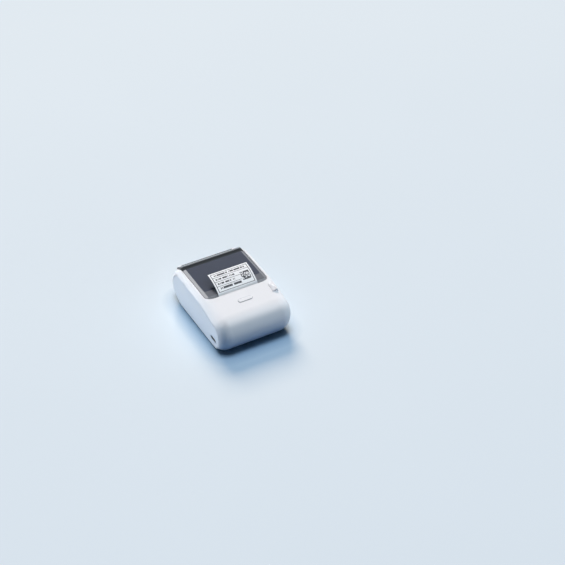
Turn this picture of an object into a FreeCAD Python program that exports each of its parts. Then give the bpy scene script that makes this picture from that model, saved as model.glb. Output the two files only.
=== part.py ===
import FreeCAD, Part
import math
import os
from FreeCAD import Vector

# Thermal label printer. Millimetres, +X right, +Y to the rear, +Z up, origin under the middle of the feet.

# Body form
floor_z = 0.6
waist_z = 27.0
top_z = 54.0
nose_front = -66.5
rear_back = 66.5
base_front = -52.0
base_rear = 53.5
nose_radius = 21.0
crown_radius = 100.0
top_slope = 10.0
shoulder_radius = 16.0
shoulder_reach = 48.6
base_half = 43.5
waist_half = 46.2
cheek_half = 46.6
cheek_top_z = 44.0
wall = 2.0
cheek_wall = 2.2
cheek_cut = 5.0
seam = 0.25
beyond = 80.0

# Cover opening and cover
opening_half = 40.2
opening_front = -20.3
opening_corner = 9.0
opening_floor_z = 44.0
opening_lip = 0.7
cover_half = 39.9
cover_top_z = 52.3
cover_wall = 2.0
cover_front = -19.9
cover_chamfer = 4.1
cover_corner = 8.7
slot_half = 30.5
slot_rear = -17.9
cover_bevel = 3.6
cover_bevel_drop = 1.3
cover_skirt_z = 44.3
groove_front = 42.8
groove_rear = 47.8
groove_depth = 1.0

# Cover hinge
hinge_y = 60.0
hinge_z = 43.0
barrel_radius = 2.1
barrel_half = 33.0
ear_inner = 33.3
ear_outer = 37.3
pin_radius = 1.0
running_gap = 0.05
trough_radius = 2.45
lid_frame_thick = 1.7
arm_inner = 30.6
arm_outer = 32.6
lid_screw_places = ((-33, 0), (33, 0), (-33, 36), (33, 36))
lid_screw_radius = 0.95

# Platen and drive
platen_y = -13.7
platen_z = 42.4
platen_radius = 4.75
platen_half = 26.0
shaft_radius = 2.0
bush_radius = 3.0
gear_module = 0.6
tooth_slack = 0.07
pressure_angle = 20.0
tooth_tip = 0.8
tooth_root = 1.15
platen_teeth = 16
idler_teeth = 24
small_teeth = 14
large_teeth = 40
pinion_teeth = 12
reduction_angle = 200.0
motor_angle = 190.0
train_left = -34.9
train_right = -33.1
drive_left = -36.9
drive_right = -35.3
axle_radius = 1.0
motor_radius = 9.5
motor_length = 18.0

# Mechanism frame
plate_inner = 28.2
plate_outer = 30.2
notch_gap = 0.2
strip_thick = 1.8
beam_front = -30.2
beam_rear = -28.8
beam_low_z = 28.0
beam_high_z = 31.0
frame_screw_places = ((-22, -3), (22, -3), (-22, -14), (22, -14))
frame_screw_radius = 1.1

# Print head
head_gap = 0.4
head_half = 26.5
head_low_z = 33.0
head_high_z = 46.0
ceramic = 1.0
sink = 2.0
sink_half = 27.0
pivot_radius = 0.9
pivot_half = 29.6

# Label stock
label_half = 25.0
label_offset = 0.6
label_thick = 0.14
label_curl_radius = 44.0
web_gap = 0.08
guide_plate_drop = 1.4
guide_plate_thick = 1.2
sensor_along = 15.5
sensor_thick = 1.6
tear_low_z = 46.6
tear_top_z = 51.0
tear_pitch = 1.6
tear_teeth = 34
tear_depth = 0.5
roll_y = 24.0
roll_z = 27.0
roll_radius = 20.0
core_inner = 6.3
core_outer = 7.6
hub_radius = 6.2

# Roll guides
guide_inner = 25.4
guide_outer = 27.2
guide_half = 12.0
guide_lift = 0.6
hub_length = 8.0
rack_module = 0.8
rack_teeth = 12
rack_low_z = 2.7
rack_high_z = 5.3
rack_bar = 2.6
rack_end = -13.0
rack_teeth_each_way = 5
guide_post_radius = 1.5
rail_half = 22.0
rail_thick = 1.2
rail_gap = 0.1

# Controls
button_y = -36.0
button_length = 17.6
button_width = 5.0
button_proud = 0.7
button_gap = 0.15
button_low = -3.1
button_board_low = -7.0
button_board_high = -6.0
button_post_x = 11.8
slider_y = -33.0
slider_length = 12.0
slider_travel = 4.0
stem_left = 36.2
stem_right = 38.8
stem_front = -4.5
stem_rear = -1.5
stem_low = -10.4
slot_side_gap = 0.3
slot_end_gap = 0.4
spring_rib_front = 6.5
spring_rib_rear = 8.0
spring_height = -8.2
spring_outer = 1.2
spring_inner = 0.8
latch_low_z = 37.4
latch_high_z = 39.4
port_y = -43.0
port_z = 14.95
port_length = 13.0
port_height = 5.6
pinhole_y = -51.0
pinhole_radius = 0.7

# Electronics
board_z = 11.7
board_thick = 1.6
board_posts = ((33.5, -30), (-35.5, -32), (0, -44.5))
board_post_radius = 2.5
board_screw_radius = 0.9

# Fasteners and feet
front_post_x = 22.0
front_post_y = -43.5
rear_post_x = 31.0
rear_post_y = 45.5
front_post_top = 10.8
rear_post_top = 18.0
post_radius = 3.0
web_half = 1.5
web_low_z = 4.0
case_screw_places = [(sign * front_post_x, front_post_y) for sign in (-1, 1)]
case_screw_places += [(sign * rear_post_x, rear_post_y) for sign in (-1, 1)]
case_screw_radius = 1.1
screw_head_ratio = 1.9
screw_head_height = 1.4
drive_slot = 0.5
drive_depth = 0.7
foot_x = 33.0
foot_front_y = -36.0
foot_rear_y = 36.0
foot_radius = 5.0
foot_height = 1.6


def on_circle(centre, radius, degrees):
    """Point of a circle in a plane, by its angle."""
    angle = math.radians(degrees)
    return (centre[0] + radius * math.cos(angle), centre[1] + radius * math.sin(angle))


def side(x):
    """Plane square to X: points are (y, z)."""
    return lambda y, z: Vector(x, y, z)


def plan(z):
    """Level plane: points are (x, y)."""
    return lambda x, y: Vector(x, y, z)


def front(y):
    """Plane square to Y: points are (x, z)."""
    return lambda x, z: Vector(x, y, z)


def outline(place, start, *steps):
    """Closed wire. A step is the next point, or a pair (middle, end) for an arc."""
    edges = []
    here = start
    for step in steps + (start,):
        if isinstance(step[0], tuple):
            middle, end = step
            edges.append(Part.Arc(place(*here), place(*middle), place(*end)).toShape())
        else:
            end = step
            if math.dist(here, end) > 1e-6:
                edges.append(Part.LineSegment(place(*here), place(*end)).toShape())
        here = end
    return Part.Wire(edges)


def prism(wire, direction):
    """Solid from a flat closed wire."""
    return Part.Face(wire).extrude(Vector(*direction))


def block(x0, x1, y0, y1, z0, z1):
    """Box between two corners."""
    return Part.makeBox(x1 - x0, y1 - y0, z1 - z0, Vector(x0, y0, z0))


def slab(z0, z1):
    """Level slice of space, wider than the body."""
    return block(-beyond, beyond, -beyond, beyond, z0, z1)


def rod(x0, x1, y, z, radius):
    """Cylinder along X."""
    return Part.makeCylinder(radius, x1 - x0, Vector(x0, y, z), Vector(1, 0, 0))


def post(x, y, z0, z1, radius):
    """Cylinder along Z."""
    return Part.makeCylinder(radius, z1 - z0, Vector(x, y, z0))


def pill(place, length, width, direction):
    """Bar with round ends, its long side along the plane's first axis."""
    half = length / 2 - width / 2
    edge = width / 2
    wire = outline(place, (-half, -edge), (half, -edge), ((half + edge, 0), (half, edge)), (-half, edge),
                   ((-half - edge, 0), (-half, -edge)))
    return prism(wire, direction)


def mirrored(shape):
    """The same piece on the other side of the middle plane."""
    return shape.mirror(Vector(0, 0, 0), Vector(1, 0, 0))


def ribbon(start, heading, moves, thick, x0, x1):
    """Bent strip across X. A move is (length,) for a run or (radius, degrees) for a turn, left positive."""
    paths = []
    for offset in (thick / 2, -thick / 2):
        angle = heading
        y, z = start
        edges = []
        for move in moves:
            left = on_circle((0, 0), 1, angle + 90)
            here = (y + left[0] * offset, z + left[1] * offset)
            if len(move) == 1:
                step = on_circle((0, 0), move[0], angle)
                y, z = y + step[0], z + step[1]
                end = (y + left[0] * offset, z + left[1] * offset)
                edges.append(("run", here, None, end))
            else:
                radius, turn = move
                way = math.copysign(1, turn)
                centre = (y + left[0] * way * radius, z + left[1] * way * radius)
                reach = radius - way * offset
                first = angle - way * 90
                middle = on_circle(centre, reach, first + turn / 2)
                end = on_circle(centre, reach, first + turn)
                edges.append(("turn", here, middle, end))
                y, z = on_circle(centre, radius, first + turn)
                angle += turn
        paths.append(edges)
    upper, lower = paths
    steps = []
    for kind, here, middle, end in upper:
        steps.append(end if kind == "run" else (middle, end))
    steps.append(lower[-1][3])
    for kind, here, middle, end in reversed(lower):
        steps.append(here if kind == "run" else (middle, here))
    return prism(outline(side(x0), upper[0][1], *steps), (x1 - x0, 0, 0))


def gear_wire(place, centre, module, teeth, phase):
    """Outline of a stub-tooth gear with arc flanks; phase is the angle of one tooth in degrees."""
    pitch = module * teeth / 2
    base = pitch * math.cos(math.radians(pressure_angle))
    tip = pitch + tooth_tip * module
    root = pitch - tooth_root * module

    def involute(radius):
        turn = math.acos(min(1.0, base / radius))
        return math.tan(turn) - turn

    half_at_pitch = math.pi / (2 * teeth) - tooth_slack / pitch
    foot = max(root, base)
    flank = []
    for radius in (foot, (foot + tip) / 2, tip):
        flank.append((radius, half_at_pitch + involute(pitch) - involute(radius)))
    steps = []
    for tooth in range(teeth):
        middle = math.radians(phase) + 2 * math.pi * tooth / teeth

        def at(radius, lean):
            return on_circle(centre, radius, math.degrees(middle + lean))

        steps.append(at(root, -flank[0][1]))
        if foot > root:
            steps.append(at(foot, -flank[0][1]))
        steps.append((at(flank[1][0], -flank[1][1]), at(tip, -flank[2][1])))
        steps.append(at(tip, flank[2][1]))
        steps.append((at(flank[1][0], flank[1][1]), at(foot, flank[0][1])))
        if foot > root:
            steps.append(at(root, flank[0][1]))
    return outline(place, steps[0], *steps[1:])


def mesh_phase(first, first_teeth, first_phase, second, second_teeth, module):
    """Phase in degrees that puts the second gear's teeth in the first gear's gaps."""
    line = math.atan2(second[1] - first[1], second[0] - first[0])
    shift = module * first_teeth / 2 * (line - math.radians(first_phase))
    back = line + math.pi
    return math.degrees(back - (math.pi * module / 2 - shift) / (module * second_teeth / 2))


# Centres worked out from the driving dimensions
rise = waist_z - floor_z
nose_overhang = base_front - nose_front
nose_low_radius = (nose_overhang ** 2 + rise ** 2) / (2 * nose_overhang)
nose_low = (nose_front + nose_low_radius, waist_z)
nose_up = (nose_front + nose_radius, waist_z)
rear_overhang = rear_back - base_rear
rear_low_radius = (rear_overhang ** 2 + rise ** 2) / (2 * rear_overhang)
rear_low = (rear_back - rear_low_radius, waist_z)
rear_up_radius = top_z - waist_z
rear_up = (rear_back - rear_up_radius, waist_z)
slope_angle = 90 + top_slope
slope_start = on_circle(nose_up, nose_radius, slope_angle)
crown_rise = on_circle((0, top_z - crown_radius), crown_radius, slope_angle)
slope_end_y = slope_start[0] + (crown_rise[1] - slope_start[1]) / math.tan(math.radians(top_slope))
crown = (slope_end_y - crown_rise[0], top_z - crown_radius)
platen = (platen_y, platen_z)
idler = (platen_y, platen_z - gear_module * (platen_teeth + idler_teeth) / 2)
reduction = on_circle(idler, gear_module * (idler_teeth + small_teeth) / 2, reduction_angle)
motor = on_circle(reduction, gear_module * (large_teeth + pinion_teeth) / 2, motor_angle)
platen_phase = -90.0
idler_phase = mesh_phase(platen, platen_teeth, platen_phase, idler, idler_teeth, gear_module)
small_phase = mesh_phase(idler, idler_teeth, idler_phase, reduction, small_teeth, gear_module)
large_phase = motor_angle
pinion_phase = mesh_phase(reduction, large_teeth, large_phase, motor, pinion_teeth, gear_module)
head_face = platen_y - platen_radius - head_gap
head_back = head_face - ceramic - sink
head_pivot = (head_back + 1.0, head_low_z - 1.0)
rack_pitch_y = roll_y - rack_module * rack_teeth / 2
rack_root_y = rack_pitch_y - tooth_root * rack_module
rack_tip_y = rack_pitch_y + tooth_tip * rack_module
web_radius = platen_radius + web_gap + label_thick / 2


def slope_height(y):
    """Height of the sloping top of the nose at a place along Y."""
    return slope_start[1] + (y - slope_start[0]) * math.tan(math.radians(top_slope))


def on_slope(shape, y):
    """Put a piece modelled on a level top onto the sloping nose."""
    placed = shape.copy()
    placed.rotate(Vector(0, 0, 0), Vector(1, 0, 0), top_slope)
    placed.translate(Vector(0, y, slope_height(y)))
    return placed


# Outer form of the body

def body_profile(place, inset):
    """Side view of the body, drawn in by the inset, and closed smoothly below the floor."""
    low = nose_low_radius - inset
    back = rear_low_radius - inset
    up = nose_radius - inset
    over = crown_radius - inset
    behind = rear_up_radius - inset
    belly = -math.degrees(math.acos((low - back) / (rear_low[0] - nose_low[0])))
    return outline(
        place,
        on_circle(nose_low, low, belly),
        (on_circle(nose_low, low, (belly - 180) / 2), on_circle(nose_low, low, 180)),
        (on_circle(nose_up, up, (180 + slope_angle) / 2), on_circle(nose_up, up, slope_angle)),
        on_circle(crown, over, slope_angle),
        (on_circle(crown, over, 90 + top_slope / 2), on_circle(crown, over, 90)),
        on_circle(rear_up, behind, 90),
        (on_circle(rear_up, behind, 45), on_circle(rear_up, behind, 0)),
        (on_circle(rear_low, back, belly / 2), on_circle(rear_low, back, belly)))


def cheek_section(inset):
    """Front view of the body's sides, a little wider at the waist than at the floor."""
    low_z = floor_z - 5
    high_z = top_z + 5
    base = base_half - inset
    waist = waist_half - inset
    cheek = cheek_half - inset
    start_y = nose_front - 5
    wire = outline(front(start_y), (-base, low_z), (base, low_z), (base, floor_z),
                   ((waist, waist_z * 0.8), (cheek, cheek_top_z)), (cheek, high_z), (-cheek, high_z),
                   (-cheek, cheek_top_z), ((-waist, waist_z * 0.8), (-base, floor_z)))
    return prism(wire, (0, rear_back - nose_front + 10, 0))


def body_form(inset, bottom, side_inset):
    """Solid of the body's outer form, drawn in by the insets and cut flat at the bottom."""
    half = shoulder_reach - inset
    blank = prism(body_profile(side(-half), inset), (2 * half, 0, 0))
    ends = [edge for edge in blank.Edges if edge.BoundBox.XLength < 1e-6]
    rounded = blank.makeFillet(shoulder_radius - inset, ends)
    return rounded.common(cheek_section(side_inset)).common(slab(bottom, beyond))


def cheek_plates(form, thick):
    """The two flat cheeks of a form, as plates that end at the crease."""
    plates = []
    for face in form.Faces:
        room = face.BoundBox
        if room.XMin > base_half - 0.5 and room.ZLength > 20:
            plates.append(face.extrude(Vector(-thick, 0, 0)))
        if room.XMax < -base_half + 0.5 and room.ZLength > 20:
            plates.append(face.extrude(Vector(thick, 0, 0)))
    return Part.makeCompound(plates)


def opening_cutter():
    """Space over the roll bay, with round front corners."""
    half = opening_half
    lead = opening_front + opening_corner
    centre = (half - opening_corner, lead)
    bend = on_circle(centre, opening_corner, -45)
    wire = outline(plan(opening_floor_z), (half - opening_corner, opening_front), (bend, (half, lead)),
                   (half, rear_back + 10), (-half, rear_back + 10), (-half, lead),
                   ((-bend[0], bend[1]), (-half + opening_corner, opening_front)))
    return prism(wire, (0, 0, 30))


def opened_form(outer):
    """Body form with the cover opening cut in and the opening's upper edge rounded."""
    form = outer.cut(opening_cutter())
    lip = []
    for edge in form.Edges:
        room = edge.BoundBox
        inside = room.XMax < opening_half + 0.01 and room.XMin > -opening_half - 0.01
        if inside and room.ZMin > opening_floor_z - 0.01 and room.ZMax > opening_floor_z + 0.1:
            lip.append(edge)
    return form.makeFillet(opening_lip, lip)


# Casings

def screw_post(x, y, wall_y, high):
    """Post for a case screw, tied to the end wall by a web."""
    web = block(x - web_half, x + web_half, min(y, wall_y), max(y, wall_y), web_low_z, high)
    return post(x, y, floor_z + wall, high, post_radius).fuse(web)


def upper_case(outer, inner, plates):
    """Nose, shoulders and back in one moulding, with the opening for the cover."""
    floor_zone = body_form(wall, floor_z, wall).common(slab(-1, floor_z + wall + seam))
    shell = opened_form(outer).cut(inner).cut(plates).cut(floor_zone)
    shell = shell.cut(rod(-opening_half, opening_half, hinge_y, hinge_z, trough_radius))
    for sign in (-1, 1):
        ear = rod(ear_inner, ear_outer, hinge_y, hinge_z, barrel_radius)
        ear = ear.fuse(block(ear_inner, ear_outer, hinge_y - 1, hinge_y + 1.6, hinge_z - 5, hinge_z))
        ear = ear.cut(rod(ear_inner - 1, ear_outer + 1, hinge_y, hinge_z, pin_radius))
        front_post = screw_post(front_post_x, front_post_y, nose_front, front_post_top).common(inner)
        rear_post = screw_post(rear_post_x, rear_post_y, rear_back, rear_post_top).common(inner)
        for extra in (ear, front_post, rear_post):
            shell = shell.fuse(extra if sign > 0 else mirrored(extra))
    for x, y in case_screw_places:
        shell = shell.cut(post(x, y, floor_z, 10, case_screw_radius))
    button_hole = pill(plan(-6), button_length + 2 * button_gap, button_width + 2 * button_gap, (0, 0, 8))
    shell = shell.cut(on_slope(button_hole, button_y))
    slot_left = stem_left - slot_side_gap
    slot_right = stem_right + slot_side_gap
    slot_front = stem_front - slot_end_gap
    slot_back = stem_rear + slider_travel + slot_end_gap
    shell = shell.cut(on_slope(block(slot_left, slot_right, slot_front, slot_back, -6, 2), slider_y))
    spring_rib = block(slot_left, slot_right, spring_rib_front, spring_rib_rear, stem_low - 0.1, -0.5)
    shell = shell.fuse(on_slope(spring_rib, slider_y).common(inner))
    for x in (-button_post_x, button_post_x):
        shell = shell.fuse(on_slope(post(x, 0, button_board_high, -1.0, 1.2), button_y))
    return shell.removeSplitter()


def lower_case():
    """Floor and both cheeks in one moulding, with posts for the board and rails for the roll guides."""
    form = body_form(seam, floor_z, 0)
    tray = body_form(wall + seam, floor_z, cheek_wall - 0.1)
    case = tray.common(slab(-1, floor_z + wall))
    case = case.fuse(cheek_plates(form, cheek_wall))
    for x, y in board_posts:
        case = case.fuse(post(x, y, floor_z + 1, board_z, board_post_radius))
        case = case.cut(post(x, y, floor_z + wall + 1, board_z + 1, board_screw_radius))
    case = case.fuse(post(0, roll_y, floor_z + 1, rack_high_z + 0.3, guide_post_radius))
    rail_y = rack_root_y - rack_bar - rail_gap
    for y in (rail_y - rail_thick, 2 * roll_y - rail_y):
        case = case.fuse(block(-rail_half, rail_half, y, y + rail_thick, floor_z + 1, rack_high_z))
    for x, y in case_screw_places:
        case = case.cut(post(x, y, -1, 9, 1.5))
        case = case.cut(post(x, y, -1, floor_z + 0.9, 2.9))
    for x in (-foot_x, foot_x):
        for y in (foot_front_y, foot_rear_y):
            case = case.cut(post(x, y, -1, foot_height, foot_radius + 0.1))
    port = pill(lambda y, z: Vector(-beyond, port_y + y, port_z + z), port_length, port_height, (45, 0, 0))
    case = case.cut(port)
    case = case.cut(rod(-beyond, -30, pinhole_y, port_z, pinhole_radius))
    return case.removeSplitter()


def rubber_feet():
    feet = []
    for x in (-foot_x, foot_x):
        for y in (foot_front_y, foot_rear_y):
            foot = post(x, y, 0, foot_height, foot_radius)
            rim = [edge for edge in foot.Edges if edge.BoundBox.ZMax < 0.01]
            feet.append(foot.makeFillet(0.4, rim))
    return Part.makeCompound(feet)


def screw(x, y, head_z, length, radius, up):
    """Pan screw: the head's outer face at head_z, the shank running up or down from it."""
    way = 1 if up else -1
    axis = Vector(0, 0, way)
    solid = Part.makeCylinder(radius * screw_head_ratio, screw_head_height, Vector(x, y, head_z), axis)
    solid = solid.fuse(Part.makeCylinder(radius, length, Vector(x, y, head_z), axis))
    reach = radius * 1.2
    low = head_z if up else head_z - drive_depth
    for wide, deep in ((reach, drive_slot / 2), (drive_slot / 2, reach)):
        solid = solid.cut(block(x - wide, x + wide, y - deep, y + deep, low, low + drive_depth))
    return solid


def case_screws():
    return Part.makeCompound([screw(x, y, 0.1, 9, case_screw_radius, True) for x, y in case_screw_places])


# Cover

def cover_profile(place):
    """Side view of the cover: chamfered front lip, flat panel, groove, and a rear that follows the body."""
    outer = rear_up_radius - 0.2
    inner = outer - cover_wall
    under_z = cover_top_z - cover_wall

    def at_height(radius, z):
        return math.degrees(math.asin((z - waist_z) / radius))

    outer_top = at_height(outer, cover_top_z)
    outer_end = at_height(outer, cover_skirt_z)
    inner_top = at_height(inner, under_z)
    inner_end = at_height(inner, cover_skirt_z)
    lip_z = cover_top_z - cover_chamfer
    return outline(
        place,
        (cover_front, lip_z - 1.0),
        (cover_front, lip_z),
        (cover_front + cover_chamfer, cover_top_z),
        (groove_front, cover_top_z),
        (groove_front + 0.6, cover_top_z - groove_depth),
        (groove_rear - 0.6, cover_top_z - groove_depth),
        (groove_rear, cover_top_z),
        on_circle(rear_up, outer, outer_top),
        (on_circle(rear_up, outer, (outer_top + outer_end) / 2), on_circle(rear_up, outer, outer_end)),
        on_circle(rear_up, inner, inner_end),
        (on_circle(rear_up, inner, (inner_top + inner_end) / 2), on_circle(rear_up, inner, inner_top)),
        (cover_front + cover_chamfer - 0.2, under_z),
        (cover_front + 0.9, lip_z - 1.0))


def top_cover():
    """Hinged cover with bevelled sides and a hinge barrel along its rear edge."""
    cover = prism(cover_profile(side(-cover_half)), (2 * cover_half, 0, 0))
    half = cover_half
    lead = cover_front + cover_corner
    bend = on_circle((half - cover_corner, lead), cover_corner, -45)
    wire = outline(plan(30), (half - cover_corner, cover_front), (bend, (half, lead)), (half, rear_back),
                   (-half, rear_back), (-half, lead),
                   ((-bend[0], bend[1]), (-half + cover_corner, cover_front)))
    cover = cover.common(prism(wire, (0, 0, 40)))
    cover = cover.cut(block(-slot_half, slot_half, cover_front - 1, slot_rear, 40, 60))
    high = cover_top_z + 2
    rate = cover_bevel / cover_bevel_drop
    for sign in (-1, 1):
        edge_z = cover_top_z - cover_bevel_drop
        near = sign * (half - cover_bevel)
        far = sign * (half + rate)
        wedge = outline(front(-30), (far, edge_z - 1), (near, cover_top_z), (near, high), (far, high))
        cover = cover.cut(prism(wedge, (0, 120, 0)))
        cover = cover.cut(rod(ear_inner, ear_outer + 0.3, hinge_y, hinge_z, trough_radius) if sign > 0
                          else rod(-ear_outer - 0.3, -ear_inner, hinge_y, hinge_z, trough_radius))
    barrel = rod(-barrel_half, barrel_half, hinge_y, hinge_z, barrel_radius)
    web = block(-barrel_half, barrel_half, hinge_y - 2, hinge_y - 0.2, hinge_z, cover_skirt_z + 0.8)
    cover = cover.fuse(barrel.fuse(web))
    for sign in (-1, 1):
        far = sign * (barrel_half + 1)
        near = sign * (barrel_half - 5)
        cover = cover.cut(rod(min(far, near), max(far, near), hinge_y, hinge_z, pin_radius + running_gap))
    return cover.removeSplitter()


def hinge_pins():
    right = rod(barrel_half - 4.6, ear_outer, hinge_y, hinge_z, pin_radius)
    return Part.makeCompound([right, mirrored(right)])


def lid_frame():
    """Inner frame of the lid, with the arms that hold the platen and the catch for the latch."""
    under = cover_top_z - cover_wall
    low = under - lid_frame_thick
    plate = block(-37, 37, -7, 42, low, under).cut(block(-29, 29, 6, 38, low - 1, under + 1))
    for sign in (-1, 1):
        arm = outline(side(arm_inner), (platen_y + 10, under), (platen_y + 1, under),
                      (platen_y - 3.6, platen_z + 2),
                      (on_circle(platen, 4.2, 225), (platen_y + 2, platen_z - 3.7)), (platen_y + 12, low))
        solid = prism(arm, (arm_outer - arm_inner, 0, 0)).cut(rod(30, 33, platen_y, platen_z, bush_radius))
        plate = plate.fuse(solid if sign > 0 else mirrored(solid))
    plate = plate.fuse(block(35.8, 37, -8.0, -5.2, 43.5, under))
    for x, y in lid_screw_places:
        plate = plate.cut(post(x, y, low - 1, under + 1, lid_screw_radius))
    return plate.removeSplitter()


def lid_screws():
    head_z = cover_top_z - cover_wall - lid_frame_thick - screw_head_height
    return Part.makeCompound([screw(x, y, head_z, 3.1, lid_screw_radius, True) for x, y in lid_screw_places])


def platen_bushes():
    right = rod(plate_inner - 0.8, arm_outer, platen_y, platen_z, bush_radius)
    right = right.cut(rod(0, beyond, platen_y, platen_z, shaft_radius + running_gap))
    return Part.makeCompound([right, mirrored(right)])


# Drive train

def gear(centre, teeth, phase, x0, x1, bore):
    wire = gear_wire(side(x0), centre, gear_module, teeth, phase)
    solid = prism(wire, (x1 - x0, 0, 0))
    return solid.cut(rod(x0 - 1, x1 + 1, centre[0], centre[1], bore))


def platen_shaft():
    return rod(train_left - 0.2, 33.4, platen_y, platen_z, shaft_radius)


def platen_rubber():
    sleeve = rod(-platen_half, platen_half, platen_y, platen_z, platen_radius)
    return sleeve.cut(rod(-beyond, beyond, platen_y, platen_z, shaft_radius))


def platen_gear():
    return gear(platen, platen_teeth, platen_phase, train_left, train_right, shaft_radius)


def idler_gear():
    return gear(idler, idler_teeth, idler_phase, train_left, train_right, axle_radius + running_gap)


def reduction_gear():
    small = gear(reduction, small_teeth, small_phase, drive_right, train_right, axle_radius + running_gap)
    large = gear(reduction, large_teeth, large_phase, drive_left, drive_right, axle_radius + running_gap)
    return large.fuse(small)


def motor_pinion():
    return gear(motor, pinion_teeth, pinion_phase, drive_left, drive_right, axle_radius)


def axle(centre, end):
    """Fixed steel pin standing out of the left frame plate, with a collar that spaces its gear."""
    pin = rod(end, -plate_inner, centre[0], centre[1], axle_radius)
    return pin.fuse(rod(train_right + 0.2, -plate_outer, centre[0], centre[1], 2.0))


def feed_motor():
    """Stepper motor can with its mounting flange and a bearing boss."""
    near = -plate_inner
    can = rod(near, near + motor_length, motor[0], motor[1], motor_radius)
    flange = rod(near, near + 1.2, motor[0], motor[1], motor_radius + 0.5)
    solid = can.fuse(flange)
    rim = [edge for edge in solid.Edges if edge.BoundBox.XMin > near + motor_length - 0.01]
    solid = solid.makeFillet(1.0, rim)
    return solid.cut(rod(near - 1, near + 8, motor[0], motor[1], axle_radius + running_gap))


def motor_shaft():
    return rod(drive_left - 0.4, -plate_inner + 7.5, motor[0], motor[1], axle_radius)


def mechanism_frame():
    """Two side plates on a floor strip and a cross beam, with open notches for the platen's bushes."""
    top = head_high_z
    strip_z = floor_z + wall
    wire = outline(side(plate_inner), (-44, strip_z), (2, strip_z), (2, strip_z + 4), (-4, 36), (-6, top),
                   (-24, top), (-44, 34))
    plate = prism(wire, (plate_outer - plate_inner, 0, 0))
    notch_half = bush_radius + notch_gap
    notch = rod(plate_inner - 1, plate_outer + 1, platen_y, platen_z, notch_half)
    notch = notch.fuse(block(plate_inner - 1, plate_outer + 1, platen_y - notch_half, platen_y + notch_half,
                             platen_z, top + 5))
    board_gap = block(plate_inner - 1, plate_outer + 1, -50, -25, board_z - 0.5, board_z + board_thick + 1.2)
    plate = plate.cut(notch).cut(board_gap)
    plate = plate.cut(rod(0, beyond, head_pivot[0], head_pivot[1], pivot_radius + running_gap))
    left = mirrored(plate)
    left = left.cut(rod(-beyond, 0, motor[0], motor[1], 2.2))
    for centre in (idler, reduction):
        left = left.cut(rod(-beyond, 0, centre[0], centre[1], axle_radius))
    strip = block(-plate_outer, plate_outer, -18, 2, strip_z, strip_z + strip_thick)
    beam = block(-plate_inner, plate_inner, beam_front, beam_rear, beam_low_z, beam_high_z)
    frame = strip.fuse(beam).fuse(plate).fuse(left)
    for x, y in frame_screw_places:
        frame = frame.cut(post(x, y, strip_z - 1, strip_z + 3, frame_screw_radius))
    return frame.removeSplitter()


def frame_screws():
    head_z = floor_z + wall + strip_thick + screw_head_height
    radius = frame_screw_radius
    return Part.makeCompound([screw(x, y, head_z, 3.2, radius, False) for x, y in frame_screw_places])


# Print head

def print_head():
    """Ceramic strip with its raised glaze bead where the heating dots lie, opposite the platen."""
    strip = block(-head_half, head_half, head_face - ceramic, head_face, head_low_z, head_high_z)
    bead = rod(-head_half + 1, head_half - 1, head_face - 0.35, platen_z, 0.45)
    return strip.fuse(bead)


def heat_sink():
    """Aluminium carrier of the head with a pivot along its foot."""
    plate = block(-sink_half, sink_half, head_back, head_face - ceramic, head_low_z - 2, head_high_z - 0.4)
    for x in (-20, -7, 6, 19):
        slot = block(x - 4, x + 4, head_back - 1, head_back + 0.8, head_low_z + 3, head_high_z + 1)
        plate = plate.cut(slot)
    return plate.fuse(rod(-pivot_half, pivot_half, head_pivot[0], head_pivot[1], pivot_radius))


def head_spring():
    """Leaf spring that presses the head onto the platen, with its foot on the frame's cross beam."""
    start = (head_back - 0.25, head_high_z - 3)
    moves = [(5.0,), (3.0, -60), (4.0,), (3.0, 60), (5.0,)]
    return ribbon(start, 270, moves, 0.4, -9, 9)


def head_ribbon():
    """Flat cable from the head down to the board."""
    start = (head_back - 0.9, head_low_z - 0.5)
    moves = [(5.0,), (4.0, -40), (6.0,), (4.0, 40), (2.7,)]
    return ribbon(start, 270, moves, 0.25, 11, 26)


# Label stock

def web_run():
    """Straight run of the web, off the roll's underside and onto the platen: start, direction, length."""
    roll = (roll_y, roll_z)
    away = (platen[0] - roll[0], platen[1] - roll[1])
    span = math.hypot(*away)
    along = (away[0] / span, away[1] / span)
    down = (-along[1], along[0])
    far = roll_radius + 0.4
    lean = (far - web_radius) / span
    rest = math.sqrt(1 - lean ** 2)
    normal = (lean * along[0] + rest * down[0], lean * along[1] + rest * down[1])
    start = (roll[0] + far * normal[0], roll[1] + far * normal[1])
    end = (platen[0] + web_radius * normal[0], platen[1] + web_radius * normal[1])
    return start, math.degrees(math.atan2(end[1] - start[1], end[0] - start[0])), math.dist(start, end)


def under_web(along, drop):
    """Place below the web's straight run."""
    start, heading, run = web_run()
    return on_circle(on_circle(start, along, heading), drop, heading + 90)


def label_web():
    """Backing web with its labels, from the roll round the front of the platen up to the slot."""
    start, heading, run = web_run()
    moves = [(run,), (web_radius, 90 - heading), (5.0,)]
    return ribbon(start, heading, moves, label_thick, label_offset - label_half, label_offset + label_half)


def printed_label():
    """Printed label: out of the slot, then curling back over the cover."""
    start = (platen_y - web_radius, platen_z + 5.5)
    moves = [(1.9,), (5.0, -53), (label_curl_radius, -36)]
    return ribbon(start, 90, moves, label_thick, label_offset - label_half, label_offset + label_half)


def label_roll():
    roll = rod(-label_half, label_half, roll_y, roll_z, roll_radius)
    return roll.cut(rod(-beyond, beyond, roll_y, roll_z, core_outer))


def roll_core():
    core = rod(-label_half - 0.1, label_half + 0.1, roll_y, roll_z, core_outer)
    return core.cut(rod(-beyond, beyond, roll_y, roll_z, core_inner))


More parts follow.
